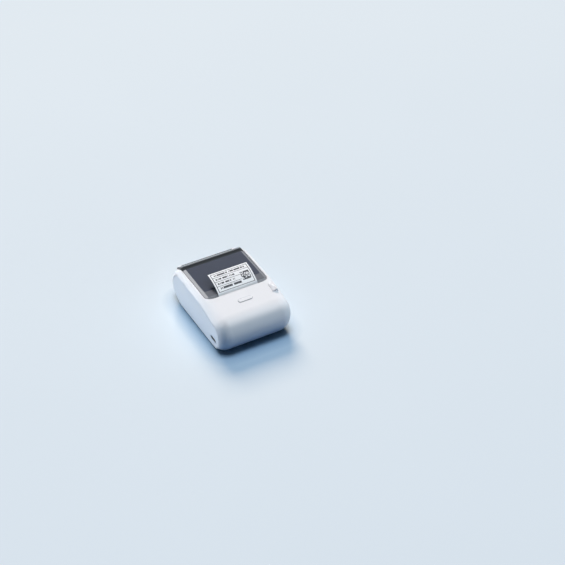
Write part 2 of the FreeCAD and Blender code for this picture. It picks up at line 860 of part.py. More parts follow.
def guide_right():
    """Side guide with a hub in the roll's core, standing on its toothed bar."""
    low = rack_high_z + guide_lift
    wire = outline(side(guide_inner), (roll_y - guide_half, low), (roll_y - guide_half, roll_z),
                   ((roll_y, roll_z + guide_half), (roll_y + guide_half, roll_z)), (roll_y + guide_half, low))
    guide = prism(wire, (guide_outer - guide_inner, 0, 0))
    guide = guide.fuse(rod(guide_inner - hub_length, guide_inner, roll_y, roll_z, hub_radius))
    foot = block(guide_inner, guide_outer, rack_root_y - rack_bar, rack_root_y, rack_high_z, low + 1)
    return guide.fuse(foot).removeSplitter()


def rack_right():
    """Toothed bar under the right guide that meshes with the guide pinion."""
    bar_y = rack_root_y - rack_bar
    rack = block(rack_end, guide_outer, bar_y, rack_root_y, rack_low_z, rack_high_z)
    lean = math.tan(math.radians(pressure_angle))
    pitch = math.pi * rack_module
    half = pitch / 4 - tooth_slack
    for tooth in range(-rack_teeth_each_way, rack_teeth_each_way):
        middle = (tooth + 0.5) * pitch
        low_half = half + lean * (rack_pitch_y - rack_root_y)
        high_half = half - lean * (rack_tip_y - rack_pitch_y)
        shape = outline(plan(rack_low_z), (middle - low_half, bar_y + 1), (middle - low_half, rack_root_y),
                        (middle - high_half, rack_tip_y), (middle + high_half, rack_tip_y),
                        (middle + low_half, rack_root_y), (middle + low_half, bar_y + 1))
        rack = rack.fuse(prism(shape, (0, 0, rack_high_z - rack_low_z)))
    return rack.removeSplitter()


def half_turn(shape):
    """The same piece on the other side of the guide pinion."""
    turned = shape.copy()
    turned.rotate(Vector(0, roll_y, 0), Vector(0, 0, 1), 180)
    return turned


def guide_pinion():
    wire = gear_wire(plan(rack_low_z), (0, roll_y), rack_module, rack_teeth, -90.0)
    wheel = prism(wire, (0, 0, rack_high_z - rack_low_z))
    return wheel.cut(post(0, roll_y, 0, 20, guide_post_radius + running_gap))


def paper_guide():
    """Sloping guide plate under the web, between the frame's side plates, with a window for the sensor."""
    start, heading, run = web_run()
    half = plate_inner - 0.1
    plate = ribbon(under_web(8, guide_plate_drop), heading, [(run - 13,)], guide_plate_thick, -half, half)
    y, z = under_web(sensor_along + 2.5, guide_plate_drop)
    return plate.cut(block(-4, 4, y - 4, y + 4, z - 4, z + 4))


def label_sensor():
    """Gap sensor under the guide plate, with a nose in its window."""
    start, heading, run = web_run()
    drop = guide_plate_drop + guide_plate_thick / 2 + running_gap + sensor_thick / 2
    body = ribbon(under_web(sensor_along, drop), heading, [(5.0,)], sensor_thick, -6, 6)
    nose = ribbon(under_web(sensor_along + 0.5, drop - 1.2), heading, [(4.0,)], sensor_thick, -3, 3)
    return body.fuse(nose)


def tear_bar():
    """Serrated strip on the inner edge of the opening, in front of the slot."""
    half = tear_pitch * tear_teeth / 2
    points = [(-half, tear_low_z)]
    for tooth in range(tear_teeth):
        points.append((-half + tooth * tear_pitch, tear_top_z))
        points.append((-half + (tooth + 0.5) * tear_pitch, tear_top_z + tear_depth))
    points.append((half, tear_top_z))
    points.append((half, tear_low_z))
    return prism(outline(front(opening_front + 0.05), *points), (0, 0.4, 0))


# Controls

def feed_button():
    """Pill button with a retaining flange under the shell."""
    cap = pill(plan(button_low), button_length, button_width, (0, 0, button_proud - button_low))
    rim = [edge for edge in cap.Edges if edge.BoundBox.ZMin > button_proud - 0.01]
    cap = cap.makeFillet(0.6, rim)
    flange = pill(plan(button_low), button_length + 2, button_width + 2, (0, 0, 0.8))
    return on_slope(cap.fuse(flange), button_y)


def button_board():
    return on_slope(block(-14, 14, -4, 4, button_board_low, button_board_high), button_y)


def feed_switch():
    lift = button_board_high + 1.5
    body = block(-3, 3, -3, 3, button_board_high, lift).fuse(post(0, 0, lift, lift + 0.45, 1.6))
    return on_slope(body, button_y)


def release_slider():
    """Wedge-shaped thumb piece on the right shoulder, on a stem through the slot."""
    reach = shoulder_radius + 0.3
    centre = (shoulder_reach - shoulder_radius, -shoulder_radius)

    def skin(x):
        return (x, centre[1] + math.sqrt(reach ** 2 - (x - centre[0]) ** 2))

    half = slider_length / 2
    wire = outline(front(-half), skin(34.2), (34.3, 0.55), (38.7, 2.6), ((39.6, 2.75), (40.2, 2.2)),
                   (41.5, -0.8), skin(41.6), (skin(38), skin(34.2)))
    wedge = prism(wire, (0, slider_length, 0))
    ramp = outline(side(30), (-half, 3.4), (half + 1, 0.9), (half + 1, 8), (-half, 8))
    wedge = wedge.cut(prism(ramp, (15, 0, 0)))
    stem = block(stem_left, stem_right, stem_front, stem_rear, stem_low, 0)
    return on_slope(wedge.fuse(stem), slider_y)


def latch_hook():
    """Flat bar from the slider's stem to the lid's catch, with a nose that faces forward."""
    bar = block(stem_left, stem_right, -40, -2, latch_low_z, latch_high_z)
    nose = outline(side(stem_left), (-2, latch_low_z), (-2, 47), (-4.4, 46.2), (-4.4, 45.2), (-3.6, 44.6),
                   (-3.6, latch_low_z))
    hook = bar.fuse(prism(nose, (stem_right - stem_left, 0, 0)))
    foot = on_slope(block(stem_left, stem_right, stem_front, stem_rear, -13, stem_low), slider_y)
    return hook.fuse(foot).removeSplitter()


def latch_spring():
    """Return spring of the slider, between its stem and a rib of the case."""
    x = (stem_left + stem_right) / 2
    start = stem_rear + 0.1
    length = spring_rib_front - 0.1 - start
    place = Vector(x, start, spring_height)
    along = Vector(0, 1, 0)
    outer = Part.makeCylinder(spring_outer, length, place, along)
    inner = Part.makeCylinder(spring_inner, length, place, along)
    return on_slope(outer.cut(inner), slider_y)


# Electronics

def main_board():
    """Control board with its larger packages."""
    lift = board_z + board_thick
    wire = outline(plan(board_z), (-42.3, -50), (-38.5, -54), (34, -54), (38, -50), (38, -26), (-42.3, -26))
    board = prism(wire, (0, 0, board_thick))
    for x, y in board_posts:
        board = board.cut(post(x, y, 0, beyond, board_screw_radius + 0.1))
    for x0, x1, y0, y1, height in ((2, 12, -51, -41, 1.0), (15, 21, -50, -44, 0.9), (-6, -1, -53, -49, 1.2),
                                   (14, 22, -38, -32, 1.1)):
        board = board.fuse(block(x0, x1, y0, y1, lift, lift + height))
    connector = block(10.5, 26.5, -30.5, -27.0, lift, lift + 1.6)
    return board.fuse(connector).removeSplitter()


def usb_socket():
    """Metal-shelled inlet with its tongue."""
    lift = board_z + board_thick

    def place(y, z):
        return Vector(-44.4, port_y + y, lift + 1.6 + z)

    shell = pill(place, 9.0, 3.2, (7.4, 0, 0))
    shell = shell.cut(pill(place, 8.3, 2.5, (6.2, 0, 0)))
    tongue = block(-43.6, -37.5, port_y - 3.3, port_y + 3.3, lift + 1.25, lift + 1.95)
    return shell.fuse(tongue)


def reset_switch():
    lift = board_z + board_thick
    body = block(-42.2, -38.8, pinhole_y - 1.4, pinhole_y + 1.4, lift, lift + 2.6)
    return body.fuse(rod(-42.7, -42.2, pinhole_y, port_z, 0.6))


def board_screws():
    head_z = board_z + board_thick + screw_head_height
    return Part.makeCompound([screw(x, y, head_z, 7, board_screw_radius, False) for x, y in board_posts])


def battery_pack():
    """Flat pouch cell with its protection strip."""
    cell = block(-26, 26, -39.5, -20.5, floor_z + wall + running_gap, 9.8)
    upright = [edge for edge in cell.Edges if edge.BoundBox.ZLength > 5]
    cell = cell.makeFillet(2.5, upright)
    return cell.fuse(block(-20, 20, -20.5, -18.7, floor_z + wall + 1, 8.5))


body_outer = body_form(0, floor_z, 0)
body_inner = body_form(wall, floor_z + wall, wall)
cheek_zone = cheek_plates(body_outer, cheek_cut)

pieces = {
    "upper_case": upper_case(body_outer, body_inner, cheek_zone),
    "lower_case": lower_case(),
    "rubber_feet": rubber_feet(),
    "case_screws": case_screws(),
    "top_cover": top_cover(),
    "hinge_pins": hinge_pins(),
    "lid_frame": lid_frame(),
    "lid_screws": lid_screws(),
    "platen_bushes": platen_bushes(),
    "platen_shaft": platen_shaft(),
    "platen_rubber": platen_rubber(),
    "platen_gear": platen_gear(),
    "idler_gear": idler_gear(),
    "idler_axle": axle(idler, train_left - 0.1),
    "reduction_gear": reduction_gear(),
    "reduction_axle": axle(reduction, drive_left - 0.4),
    "motor_pinion": motor_pinion(),
    "motor_shaft": motor_shaft(),
    "feed_motor": feed_motor(),
    "mechanism_frame": mechanism_frame(),
    "frame_screws": frame_screws(),
    "print_head": print_head(),
    "heat_sink": heat_sink(),
    "head_spring": head_spring(),
    "head_ribbon": head_ribbon(),
    "label_web": label_web(),
    "printed_label": printed_label(),
    "label_roll": label_roll(),
    "roll_core": roll_core(),
    "guide_right": guide_right(),
    "guide_left": half_turn(guide_right()),
    "rack_right": rack_right(),
    "rack_left": half_turn(rack_right()),
    "guide_pinion": guide_pinion(),
    "paper_guide": paper_guide(),
    "label_sensor": label_sensor(),
    "tear_bar": tear_bar(),
    "feed_button": feed_button(),
    "button_board": button_board(),
    "feed_switch": feed_switch(),
    "release_slider": release_slider(),
    "latch_hook": latch_hook(),
    "latch_spring": latch_spring(),
    "main_board": main_board(),
    "usb_socket": usb_socket(),
    "reset_switch": reset_switch(),
    "board_screws": board_screws(),
    "battery_pack": battery_pack(),
}

os.makedirs("parts", exist_ok=True)
for name, shape in pieces.items():
    shape.exportStep("parts/" + name + ".step")
    print(name, "solids", len(shape.Solids), "volume", round(shape.Volume, 1), "valid", shape.isValid())
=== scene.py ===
import math

import bmesh
import bpy
from mathutils import Matrix, Vector


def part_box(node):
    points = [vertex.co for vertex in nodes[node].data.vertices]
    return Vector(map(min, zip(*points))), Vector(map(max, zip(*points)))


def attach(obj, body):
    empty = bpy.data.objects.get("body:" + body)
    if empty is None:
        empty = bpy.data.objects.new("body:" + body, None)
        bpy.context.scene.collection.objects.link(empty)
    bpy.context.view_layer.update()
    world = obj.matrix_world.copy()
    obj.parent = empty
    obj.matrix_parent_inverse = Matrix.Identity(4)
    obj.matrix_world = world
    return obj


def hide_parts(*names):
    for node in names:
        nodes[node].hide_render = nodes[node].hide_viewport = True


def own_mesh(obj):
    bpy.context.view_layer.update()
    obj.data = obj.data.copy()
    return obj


# Looks of a thermal label printer, +X right, +Y to the rear, +Z up

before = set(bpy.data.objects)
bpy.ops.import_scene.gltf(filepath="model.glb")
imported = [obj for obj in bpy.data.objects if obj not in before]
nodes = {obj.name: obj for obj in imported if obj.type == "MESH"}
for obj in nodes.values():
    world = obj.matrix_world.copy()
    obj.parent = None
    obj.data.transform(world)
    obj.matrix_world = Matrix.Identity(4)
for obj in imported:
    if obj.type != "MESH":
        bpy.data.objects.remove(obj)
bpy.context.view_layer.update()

# Camera, in metres and degrees
camera_place = (-0.5605, -1.1200, 1.0525)
camera_azimuth = -29.33
camera_elevation = 38.74
camera_lens = 88.7

# Label path from the slot, a tight bend and then the curl, in millimetres as the pieces below
label_offset = 0.6
bend_centre = (-13.6, 49.8)
bend_radius = 5.0
bend_turn = 53.0
curl_centre = (9.871, 18.653)
curl_radius = 44.0
slot_along = 2.9

# Print on the label, as places across it and up from the slot
label_border = (-23.2, 23.2, 2.0, 27.5)
border_line = 0.7
rule_half = 0.25
label_rules = ((21.4, 22.5), (15.3, 9.0), (9.2, 9.0))
plain_words = (
    ((23.2, 25.4), ((-19.6, -2.8), (-0.8, 19.2))),
    ((17.3, 19.3), ((-20.2, -13.2), (-11.6, -4.4), (-2.8, 3.6))),
    ((11.3, 13.3), ((-20.2, -12.4), (-10.8, -3.4), (-1.6, 1.4))),
)
heavy_words = (
    ((5.0, 7.6), ((-19.4, -4.2), (-2.4, 7.4))),
)
letters_per_mm = 1.2
letter_start = 40.0
plain_spaces = 0.18
heavy_spaces = 0.06
block_patch = (10.0, 21.0, 7.0, 18.0)
block_share = 0.38

# Cover: the groove across it, painted near black for its shade, and the dark window inside a border
# painted paler for the light its edges catch
groove_shade_band = (42.8, 49.2)
window_half = 36.3
window_front = -5.2
window_corner = 3.0
level_face = 0.96

# Feed button, and the shade painted in a ring round its gap
button_middle = -36.0
button_reach = 6.3
button_gap_shade = (2.35, 2.95)
shell_top = 40.0

# Label stock and its roll
roll_centre = (24.0, 27.0)
roll_radius = 20.0
label_half = 25.0
label_edge = 1.0
label_pitch = 33.0
label_gap = 2.5
label_skin = 0.1
roll_start = 200.0
turns_per_mm = 6.0

# Print head and its ribbon
heater_line = (41.9, 42.9)
head_driver = (33.6, 38.6)
driver_half = 25.0
finger_pitch = 0.5
track_pitch = 1.0

# Board and inlet
board_top = 13.3
package_height = (0.05, 3.0)
inlet_low, inlet_high = (corner * 1000.0 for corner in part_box("usb_socket"))
inlet_centre = ((inlet_low[1] + inlet_high[1]) / 2, (inlet_low[2] + inlet_high[2]) / 2)
tongue_half = 3.3
tongue_thick = 0.7
slot_size = (12.9, 5.5)
bezel_width = 1.15
bezel_thick = 0.6
bezel_depth = 0.4
slot_sides = 32
contact_count = 12
contact_pitch = 0.5
contact_reach = (1.1, 3.6)
contact_half = 0.13
contact_rise = 0.04
contact_edge = 0.02

# Springs
case_lean = math.radians(10.0)
coil_length = 7.8
coil_radius = 1.0
coil_wire = 0.2
wire_sides = 8
coil_turns = 6
turn_steps = 16

# Underside plate and cover ribs
plate_size = (46.0, 26.0)
plate_centre = (0.0, 4.0)
plate_thick = 0.15
plate_corner = 2.5
plate_border = 1.2
plate_step = 0.1
plate_sunk = 0.06
cover_wall = 2.0
rib_window = ((-28.9, 28.9), (6.1, 37.9))
rib_cells = (6, 3)
rib_width = 0.9
rib_height = 1.0

# Floor and its surround, in metres
floor_half = 6.0
contact_shade = 0.022
floor_fade = (0.55, 1.2)
surround_colour = (0.74, 0.81, 0.87)
unlit = (0.0, 0.0, 0.0)

# Lamps on the printer: name, direction, distance, size, power, colour, spread, mirrored in gloss
printer_lamps = (
    ("key", (0.155, 0.55, 0.82), 3.0, 0.36, 63.0, (1.0, 0.87, 0.83), 180.0, False),
    ("left", (-0.80, 0.58, 0.15), 2.2, 0.7, 3.3, (0.84, 0.93, 1.0), 50.0, False),
    ("left_front", (-0.62, -0.66, 0.42), 2.2, 0.9, 3.6, (0.42, 0.68, 1.0), 180.0, True),
    ("right_high", (0.50, -0.34, 0.80), 2.2, 1.4, 27.5, (0.83, 0.93, 1.0), 180.0, True),
    ("rear_left", (-0.13, 0.680, 0.72), 1.5, 0.36, 2.0, (1.0, 1.0, 1.0), 180.0, True),
    ("right", (0.95, 0.12, 0.22), 1.2, 0.4, 1.6, (0.6, 0.85, 1.0), 180.0, True),
)

# Lamps on the floor alone, a warm one and a blue one, so that it is pale and its shadow is blue
floor_lamps = (
    ("floor_key", (0.16, 0.73, 0.68), 12.0, 5.6, 1429.0, (1.0, 0.78, 0.59), 180.0, True),
    ("floor_sky", (-0.05, -0.08, 1.0), 8.8, 3.0, 505.0, (0.575, 0.767, 1.0), 180.0, True),
)


class Wire:
    """One output socket of a node tree. Sums on it add Math nodes."""

    def __init__(self, tree, socket):
        self.tree = tree
        self.socket = socket

    def node(self, kind, settings=None, inputs=None, output=0):
        """Any other node: its type, its settings, then the values or links of its sockets."""
        made = self.tree.nodes.new("ShaderNode" + kind)
        for name, value in (settings or {}).items():
            setattr(made, name, value)
        for name, value in (inputs or {}).items():
            target = made.inputs[name]
            if isinstance(value, Wire):
                self.tree.links.new(value.socket, target)
            elif target.type == "RGBA":
                target.default_value = (*value, 1.0)
            else:
                target.default_value = value
        return Wire(self.tree, made.outputs[output])

    def maths(self, operation, first, second=0.0):
        return self.node("Math", {"operation": operation}, {0: first, 1: second})

    def __add__(self, other):
        return self.maths("ADD", self, other)

    def __radd__(self, other):
        return self.maths("ADD", other, self)

    def __sub__(self, other):
        return self.maths("SUBTRACT", self, other)

    def __rsub__(self, other):
        return self.maths("SUBTRACT", other, self)

    def __mul__(self, other):
        return self.maths("MULTIPLY", self, other)

    def __rmul__(self, other):
        return self.maths("MULTIPLY", other, self)

    def __gt__(self, other):
        return self.maths("GREATER_THAN", self, other)

    def __lt__(self, other):
        return self.maths("LESS_THAN", self, other)

    def __mod__(self, other):
        return self.maths("FLOORED_MODULO", self, other)

    def __rmod__(self, other):
        return self.maths("FLOORED_MODULO", other, self)

    def __abs__(self):
        return self.maths("ABSOLUTE", self)

    def or_else(self, other):
        return self.maths("MAXIMUM", self, other)

    def within(self, low, high):
        return (self > low) * (self < high)

    def reach(self, first, second):
        """Length of the slope over two numbers."""
        return self.maths("SQRT", first * first + second * second)

    def parts(self):
        """The three numbers of a vector."""
        split = self.node("SeparateXYZ", None, {"Vector": self})
        outputs = split.socket.node.outputs
        return [Wire(self.tree, outputs[index]) for index in range(3)]

    def millimetres(self):
        """The three numbers of a place, in millimetres."""
        return [number * 1000.0 for number in self.parts()]

    def noise(self, scale, detail=2.0, roughness=0.5):
        inputs = {"Vector": self, "Scale": scale, "Detail": detail, "Roughness": roughness}
        return self.node("TexNoise", None, inputs)

    def stretched(self, x, y, z):
        return self.node("Mapping", None, {"Vector": self, "Scale": (x, y, z)})

    def mix(self, first, second):
        """A colour between two, by this value."""
        return self.node("Mix", {"data_type": "RGBA"}, {0: self, 6: first, 7: second}, 2)

    def bumped(self, distance, strength=1.0, edge=None):
        """A surface raised by this height, over softened edges."""
        inputs = {"Height": self, "Distance": distance, "Strength": strength}
        if edge:
            inputs["Normal"] = self.node("Bevel", {"samples": 6}, {"Radius": edge})
        return self.node("Bump", None, inputs)


def finish(name, look, **constants):
    """A material. Steady values go on the shader's own sockets, and look gives what changes."""
    material = bpy.data.materials.new(name)
    material.use_nodes = True
    tree = material.node_tree
    shader = tree.nodes["Principled BSDF"]
    for socket, value in constants.items():
        shader.inputs[socket.replace("_", " ")].default_value = value
    coordinates = tree.nodes.new("ShaderNodeTexCoord")
    for socket, value in look(Wire(tree, coordinates.outputs["Object"])).items():
        tree.links.new(value.socket, shader.inputs[socket])
    return material


# Finishes

def satin_shell(place):
    """White moulding, with shade painted in a ring just round the feed button, in its gap."""
    x, y, z = place.millimetres()
    along = (abs(x) - button_reach).or_else(0.0)
    across = y - button_middle
    # painted shade: a darker ring round the feed button stands in for the shadow in the gap round it
    gap = place.reach(along, across).within(*button_gap_shade) * (z > shell_top)
    grain = place.noise(3200.0, 3.0, 0.6)
    cloud = place.noise(30.0, 2.0)
    white = cloud.mix((0.80, 0.805, 0.815), (0.835, 0.84, 0.85))
    return {
        "Base Color": gap.mix(white, (0.42, 0.43, 0.46)),
        "Roughness": 0.36 + 0.10 * grain,
        "Normal": grain.bumped(0.000015, 0.35, 0.0004),
    }


def smoky_cover(place):
    """Dark glossy acrylic. A border round the window and the bevels are painted paler as painted
    highlights, the groove is painted near black as painted shade, and the roll behind it is paler.
    """
    smear = place.stretched(60.0, 14.0, 14.0).noise(1.0, 3.0, 0.55)
    speck = place.noise(900.0, 2.0)
    upright = abs(place.node("TexCoord", None, None, "Normal").parts()[2])
    x, back = place.millimetres()[:2]
    # painted highlight: outside the window's rounded outline the panel is painted paler, standing in
    # for light caught by the chamfered front and sides
    beside = (abs(x) - window_half + window_corner).or_else(0.0)
    ahead = (window_front + window_corner - back).or_else(0.0)
    window = place.reach(beside, ahead) < window_corner
    dark = smear.mix((0.030, 0.035, 0.056), (0.038, 0.043, 0.066))
    colour = window.mix((0.11, 0.115, 0.13), dark)
    # painted highlight: faces that are not level, the bevels, are painted paler still
    colour = (upright > level_face).mix((0.18, 0.185, 0.20), colour)
    # painted shade: the groove and the front of the roll just behind it are painted near black, for the
    # deep shade in the groove
    shaded_groove = back.within(*groove_shade_band)
    colour = shaded_groove.mix(colour, (0.006, 0.007, 0.009))
    return {
        "Base Color": (back > groove_shade_band[1]).mix(colour, (0.10, 0.105, 0.115)),
        "Roughness": 0.11 + 0.07 * smear + 0.03 * speck + 0.45 * shaded_groove,
        "Normal": smear.bumped(0.00003, 0.05, 0.0006),
    }


def charcoal_moulding(place):
    grain = place.noise(2400.0, 3.0, 0.6)
    return {
        "Base Color": grain.mix((0.040, 0.041, 0.044), (0.058, 0.059, 0.062)),
        "Roughness": 0.42 + 0.14 * grain,
        "Normal": grain.bumped(0.00002, 0.5, 0.0003),
    }


def coated_plate(place):
    peel = place.noise(1400.0, 2.0)
    return {
        "Base Color": peel.mix((0.20, 0.205, 0.21), (0.24, 0.245, 0.25)),
        "Roughness": 0.38 + 0.16 * peel,
        "Normal": peel.bumped(0.00003, 0.4, 0.0003),
    }


def soft_rubber(place):
    grain = place.noise(2600.0, 4.0, 0.65)
    return {
        "Base Color": grain.mix((0.012, 0.012, 0.013), (0.030, 0.030, 0.031)),
        "Roughness": 0.62 + 0.2 * grain,
        "Normal": grain.bumped(0.00004, 0.5, 0.0003),
    }


def ground_steel(place):
    scratch = place.stretched(500.0, 9000.0, 9000.0).noise(1.0, 3.0, 0.6)
    return {
        "Base Color": scratch.mix((0.55, 0.55, 0.56), (0.66, 0.66, 0.67)),
        "Roughness": 0.20 + 0.16 * scratch,
        "Normal": scratch.bumped(0.000006, 0.3, 0.0002),
    }


def turned_brass(place):
    scratch = place.stretched(9000.0, 300.0, 300.0).noise(1.0, 2.0)
    return {
        "Base Color": scratch.mix((0.60, 0.43, 0.16), (0.72, 0.54, 0.24)),
        "Roughness": 0.22 + 0.15 * scratch,
        "Normal": scratch.bumped(0.000006, 0.3, 0.0002),
    }


def gear_nylon(place):
    grain = place.noise(1800.0, 2.0)
    return {
        "Base Color": grain.mix((0.70, 0.69, 0.63), (0.76, 0.75, 0.70)),
        "Roughness": 0.40 + 0.12 * grain,
        "Normal": grain.bumped(0.00002, 0.3, 0.0002),
    }


def glazed_ceramic(place):
    """Pale board with a heater line, gold fingers below it and a black driver below those."""
    x, y, z = place.millimetres()
    line = z.within(*heater_line)
    driver = z.within(*head_driver) * (abs(x) < driver_half)
    fingers = (x % finger_pitch > finger_pitch / 2) * z.within(head_driver[1], heater_line[0])
    pale = fingers.mix((0.70, 0.68, 0.62), (0.60, 0.46, 0.20))
    glazed = line.mix(pale, (0.20, 0.13, 0.08))
    return {
        "Base Color": driver.mix(glazed, (0.015, 0.015, 0.016)),
        "Roughness": 0.16 + 0.34 * driver + 0.05 * place.noise(900.0),
        "Normal": driver.bumped(0.0002, 0.5, 0.0002),
    }


def milled_aluminium(place):
    scratch = place.stretched(400.0, 6000.0, 6000.0).noise(1.0, 3.0)
    return {
        "Base Color": scratch.mix((0.62, 0.63, 0.64), (0.74, 0.75, 0.76)),
        "Roughness": 0.26 + 0.16 * scratch,
        "Normal": scratch.bumped(0.000008, 0.3, 0.0002),
    }


def label_stock(place):
    """Blank labels on their liner, which shows at the sides and in the gaps between labels."""
    x, y, z = place.millimetres()
    fibre = place.noise(1500.0, 4.0, 0.6)
    margin = abs(x - label_offset) > label_half - label_edge
    gap = ((y - z) % label_pitch < label_gap).or_else(margin)
    label = fibre.mix((0.80, 0.805, 0.81), (0.86, 0.865, 0.87))
    return {
        "Base Color": gap.mix(label, (0.62, 0.60, 0.52)),
        "Roughness": 0.44 + 0.12 * fibre - 0.12 * gap,
        "Normal": (0.05 * fibre - gap).bumped(0.00008, 0.6),
    }


def printed_face(place):
    """Coated label. Its outer side has a border, rules, plain bars and a patch of random blocks."""
    x, y, z = place.millimetres()
    across = x - label_offset
    bend = [y - bend_centre[0], z - bend_centre[1]]
    curl = [y - curl_centre[0], z - curl_centre[1]]
    leaving = math.radians(90.0 - bend_turn)
    curled = bend[1] * math.sin(leaving) + bend[0] * math.cos(leaving) > 0.0
    bend_angle = math.pi - place.maths("ARCTAN2", bend[1], bend[0])
    curl_angle = math.radians(180.0 - bend_turn) - place.maths("ARCTAN2", curl[1], curl[0])
    along = curled * (bend_radius * math.radians(bend_turn) + curl_radius * curl_angle)
    along = along + (1 - curled) * (bend_radius * bend_angle) - slot_along
    height = curled * (place.reach(*curl) - curl_radius)
    height = height + (1 - curled) * (place.reach(*bend) - bend_radius)
    outside = height > 0.0

    def bar(left, right, low, high):
        return across.within(left, right) * along.within(low, high)

    def bars(rows):
        found = None
        for row, spans in rows:
            for span in spans:
                word = bar(*span, *row)
                found = found.or_else(word) if found else word
        return found

    left, right, low, high = label_border
    inside = bar(left + border_line, right - border_line, low + border_line, high - border_line)
    ink = bar(*label_border) * (1 - inside)
    for middle, end in label_rules:
        ink = ink.or_else(bar(left + border_line, end, middle - rule_half, middle + rule_half))
    step = place.maths("FLOOR", across * letters_per_mm + letter_start)
    letter = place.node("TexWhiteNoise", {"noise_dimensions": "1D"}, {"W": step})
    words = bars(plain_words) * (letter > plain_spaces)
    bold = bars(heavy_words) * (letter > heavy_spaces)
    column = place.maths("FLOOR", across)
    row = place.maths("FLOOR", along)
    cell = place.node("CombineXYZ", None, {"X": column, "Y": row})
    patch = place.node("TexWhiteNoise", {"noise_dimensions": "2D"}, {"Vector": cell}) > block_share
    blocks = bar(*block_patch) * patch
    ink = ink.or_else(words).or_else(bold).or_else(blocks) * outside
    fibre = place.noise(1500.0, 4.0, 0.6)
    paper = fibre.mix((0.84, 0.845, 0.85), (0.89, 0.895, 0.90))
    return {
        "Base Color": ink.mix(paper, (0.030, 0.030, 0.036)),
        "Roughness": 0.34 + 0.08 * fibre + 0.10 * ink,
        "Normal": fibre.bumped(0.00001, 0.25),
    }


def wound_paper(place):
    """Roll of blank labels, with its turns showing at the ends."""
    x, y, z = place.millimetres()
    behind = y - roll_centre[0]
    above = z - roll_centre[1]
    ends = abs(x) > label_half - label_skin
    round_it = place.maths("ARCTAN2", above, behind) * roll_radius + roll_start
    gap = (round_it % label_pitch < label_gap).or_else(abs(x) > label_half - label_edge) * (1 - ends)
    depth = place.reach(behind, above) * turns_per_mm
    turns = place.node("TexNoise", {"noise_dimensions": "1D"}, {"W": depth, "Detail": 3.0})
    fibre = place.noise(1500.0, 4.0, 0.6)
    side = turns.mix((0.62, 0.62, 0.60), (0.86, 0.86, 0.85))
    face = fibre.mix((0.80, 0.805, 0.81), (0.86, 0.865, 0.87))
    return {
        "Base Color": ends.mix(gap.mix(face, (0.62, 0.60, 0.52)), side),
        "Roughness": 0.46 + 0.2 * ends - 0.1 * gap,
        "Normal": (turns * ends - 0.6 * gap).bumped(0.00012, 0.5),
    }


def wound_card(place):
    fibre = place.stretched(300.0, 1200.0, 1200.0).noise(1.0, 4.0, 0.6)
    return {
        "Base Color": fibre.mix((0.36, 0.25, 0.15), (0.48, 0.35, 0.22)),
        "Roughness": 0.7 + 0.1 * fibre,
        "Normal": fibre.bumped(0.00004, 0.4),
    }


def amber_film(place):
    across = place.millimetres()[0]
    tracks = (across % track_pitch).within(track_pitch / 4, track_pitch * 3 / 4)
    return {
        "Base Color": tracks.mix((0.42, 0.19, 0.03), (0.52, 0.28, 0.06)),
        "Roughness": 0.28 + 0.1 * tracks,
        "Normal": tracks.bumped(0.00003, 0.4),
    }


def solder_mask(place):
    """Green board with tracks, and black packages standing on it."""
    height = place.millimetres()[2]
    cells = place.node("TexVoronoi", {"feature": "DISTANCE_TO_EDGE"}, {"Vector": place, "Scale": 260.0})
    tracks = cells < 0.08
    package = (height - board_top).within(*package_height)
    mask = tracks.mix((0.010, 0.075, 0.030), (0.022, 0.135, 0.055))
    return {
        "Base Color": package.mix(mask, (0.016, 0.016, 0.018)),
        "Roughness": 0.30 + 0.1 * place.noise(900.0) + 0.15 * package,
        "Normal": (tracks * (1 - package)).bumped(0.00003, 0.4),
    }


def inlet_metal(place):
    """Plated inlet shell with a black tongue inside it."""
    x, y, z = place.millimetres()
    beside = abs(y - inlet_centre[0])
    above = abs(z - inlet_centre[1])
    tongue = (beside < tongue_half + 0.1) * (above < tongue_thick)
    scratch = place.stretched(6000.0, 500.0, 500.0).noise(1.0, 3.0, 0.6)
    metal = scratch.mix((0.56, 0.56, 0.57), (0.68, 0.68, 0.69))
    return {
        "Base Color": tongue.mix(metal, (0.014, 0.014, 0.015)),
        "Metallic": 1 - tongue,
        "Roughness": 0.22 + 0.14 * scratch + 0.2 * tongue,
        "Normal": scratch.bumped(0.000006, 0.3, 0.0001),
    }


def black_moulding(place):
    grain = place.noise(2200.0, 3.0, 0.6)
    return {
        "Base Color": grain.mix((0.012, 0.012, 0.013), (0.022, 0.022, 0.024)),
        "Roughness": 0.36 + 0.16 * grain,
        "Normal": grain.bumped(0.00002, 0.4, 0.0002),
    }


def silver_pouch(place):
    crease = place.noise(160.0, 3.0, 0.6)
    return {
        "Base Color": crease.mix((0.42, 0.43, 0.45), (0.55, 0.56, 0.58)),
        "Roughness": 0.34 + 0.2 * crease,
        "Normal": crease.bumped(0.0003, 0.4, 0.0004),
    }


shell = finish("satin_shell", satin_shell)
cover = finish("smoky_cover", smoky_cover, IOR=1.52)
charcoal = finish("charcoal_moulding", charcoal_moulding)
plate = finish("coated_plate", coated_plate)
rubber = finish("soft_rubber", soft_rubber)
steel = finish("ground_steel", ground_steel, Metallic=1.0)
brass = finish("turned_brass", turned_brass, Metallic=1.0)
nylon = finish("gear_nylon", gear_nylon)
ceramic = finish("glazed_ceramic", glazed_ceramic)
aluminium = finish("milled_aluminium", milled_aluminium, Metallic=1.0)
stock = finish("label_stock", label_stock)
print_paper = finish("printed_face", printed_face)
roll_paper = finish("wound_paper", wound_paper)
card = finish("wound_card", wound_card)
film = finish("amber_film", amber_film)
inlet = finish("inlet_metal", inlet_metal)
mask_green = finish("solder_mask", solder_mask)
black = finish("black_moulding", black_moulding)
pouch = finish("silver_pouch", silver_pouch)

